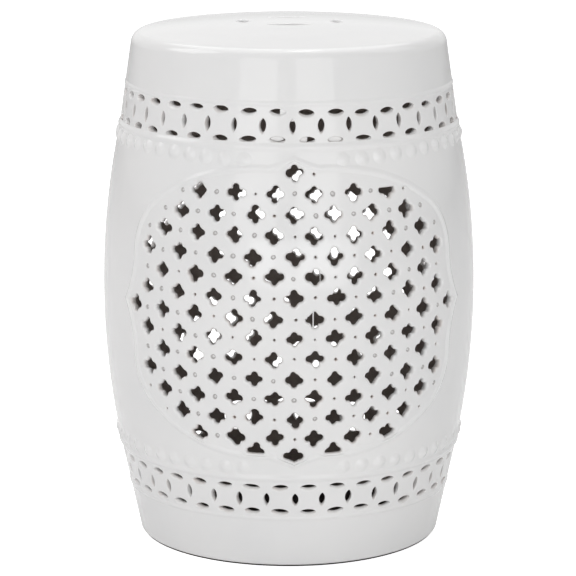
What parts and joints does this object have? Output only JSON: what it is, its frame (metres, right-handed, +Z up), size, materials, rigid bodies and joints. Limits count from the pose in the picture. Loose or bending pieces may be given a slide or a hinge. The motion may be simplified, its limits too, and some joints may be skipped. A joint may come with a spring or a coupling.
{
  "type": "garden stool",
  "caption": "Barrel-shaped glazed ceramic drum stool with a domed seat, pierced coin-fret bands, nail-head bosses and quatrefoil lattice medallions, open at the foot.",
  "frame": {"origin": "on the floor under the centre of the foot, at the underside of the foot pads", "axes": "+Z up along the axis of the drum, -Y out through the middle of the front medallion, +X to the right seen from the front"},
  "size_m": [0.3314, 0.3314, 0.4602],
  "materials": {
    "white_glaze": "clear gloss over white",
    "bare_clay": "unglazed, matte",
    "felt": "pressed felt"
  },
  "bodies": {
    "root": {"foot_pads": "felt", "foot_ring": "white_glaze", "lower_bead": "white_glaze", "lower_fret_ring": "white_glaze", "lower_ridge_ring": "white_glaze", "lower_right_bosses": "white_glaze", "lower_left_bosses": "white_glaze", "front_wall": "white_glaze", "rear_wall": "white_glaze", "left_seam_strip": "bare_clay", "right_seam_strip": "bare_clay", "front_medallion_frame": "white_glaze", "rear_medallion_frame": "white_glaze", "upper_right_bosses": "white_glaze", "upper_left_bosses": "white_glaze", "upper_ridge_ring": "white_glaze", "upper_fret_ring": "white_glaze", "upper_bead": "white_glaze", "shoulder_ring": "white_glaze", "seat_disc": "white_glaze", "seat_coil": "bare_clay"}
  },
  "joints": []
}
